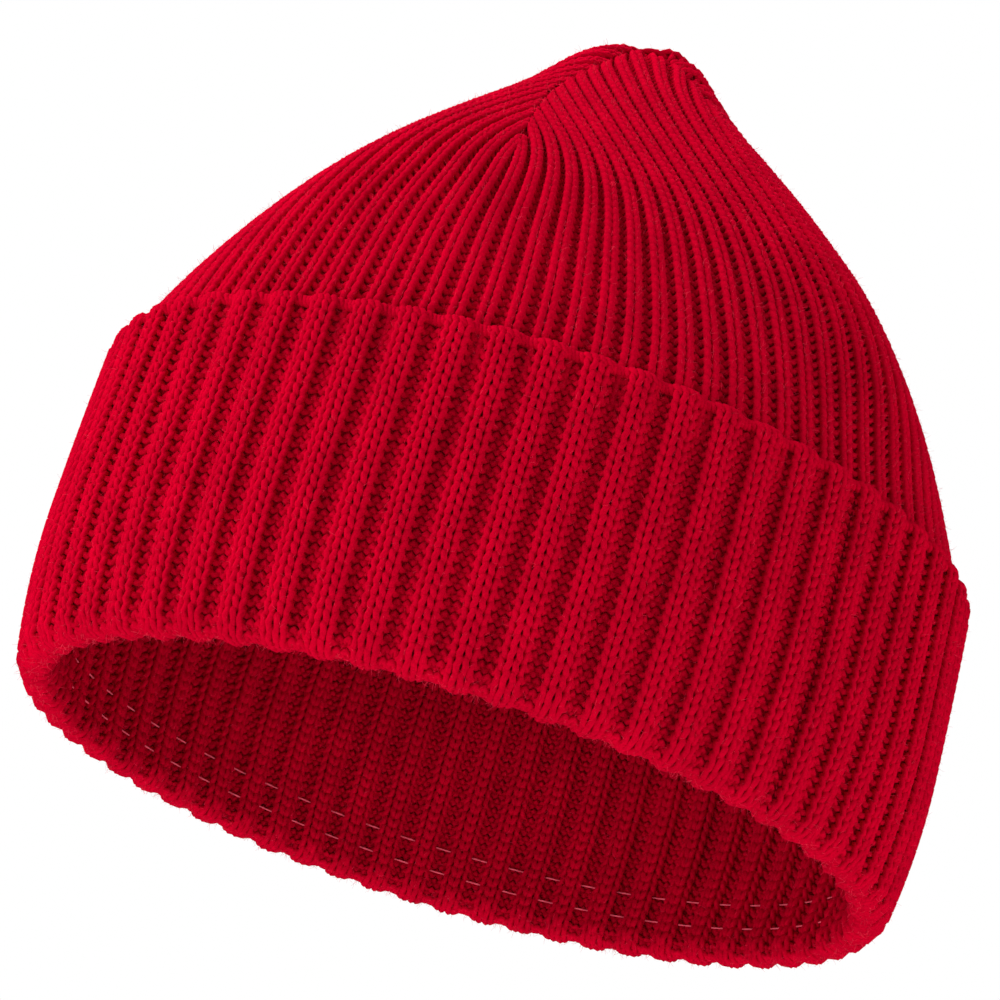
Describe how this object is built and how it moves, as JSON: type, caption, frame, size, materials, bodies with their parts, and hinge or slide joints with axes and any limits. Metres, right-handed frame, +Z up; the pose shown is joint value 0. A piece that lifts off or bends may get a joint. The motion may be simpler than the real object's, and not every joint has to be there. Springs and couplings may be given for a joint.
{
  "type": "cuffed rib-knit beanie",
  "caption": "Close-fitting ribbed knit beanie with a deep turned-up cuff and a pointed crown closed by a cross of seams.",
  "frame": {"origin": "centre of the hat's outline in plan, at the height of its fold edge", "axes": "+Z up from the fold edge to the crown, -Y to the front, +X to the wearer's left, opening facing -Z"},
  "size_m": [0.219, 0.184, 0.212],
  "materials": {
    "red_rib_knit": "soft matt acrylic rib knit with a light fuzz",
    "red_rib_knit_inside": "soft matt acrylic rib knit, inside face",
    "linking_yarn": "matt yarn, looped",
    "elastic_thread": "fine satin covered-elastic thread"
  },
  "bodies": {
    "root": {"cuff_turn_up": "red_rib_knit", "cuff_top_edge": "red_rib_knit", "fold_edge": "red_rib_knit", "inner_band": "red_rib_knit_inside", "elastic_thread_lower": "elastic_thread", "elastic_thread_upper": "elastic_thread", "crown_wall": "red_rib_knit", "crown_gore_front": "red_rib_knit", "crown_gore_right": "red_rib_knit", "crown_gore_back": "red_rib_knit", "crown_gore_left": "red_rib_knit", "crown_seam_front_right": "linking_yarn", "crown_seam_back_right": "linking_yarn", "crown_seam_back_left": "linking_yarn", "crown_seam_front_left": "linking_yarn", "crown_closing_stitch": "linking_yarn"}
  },
  "joints": []
}
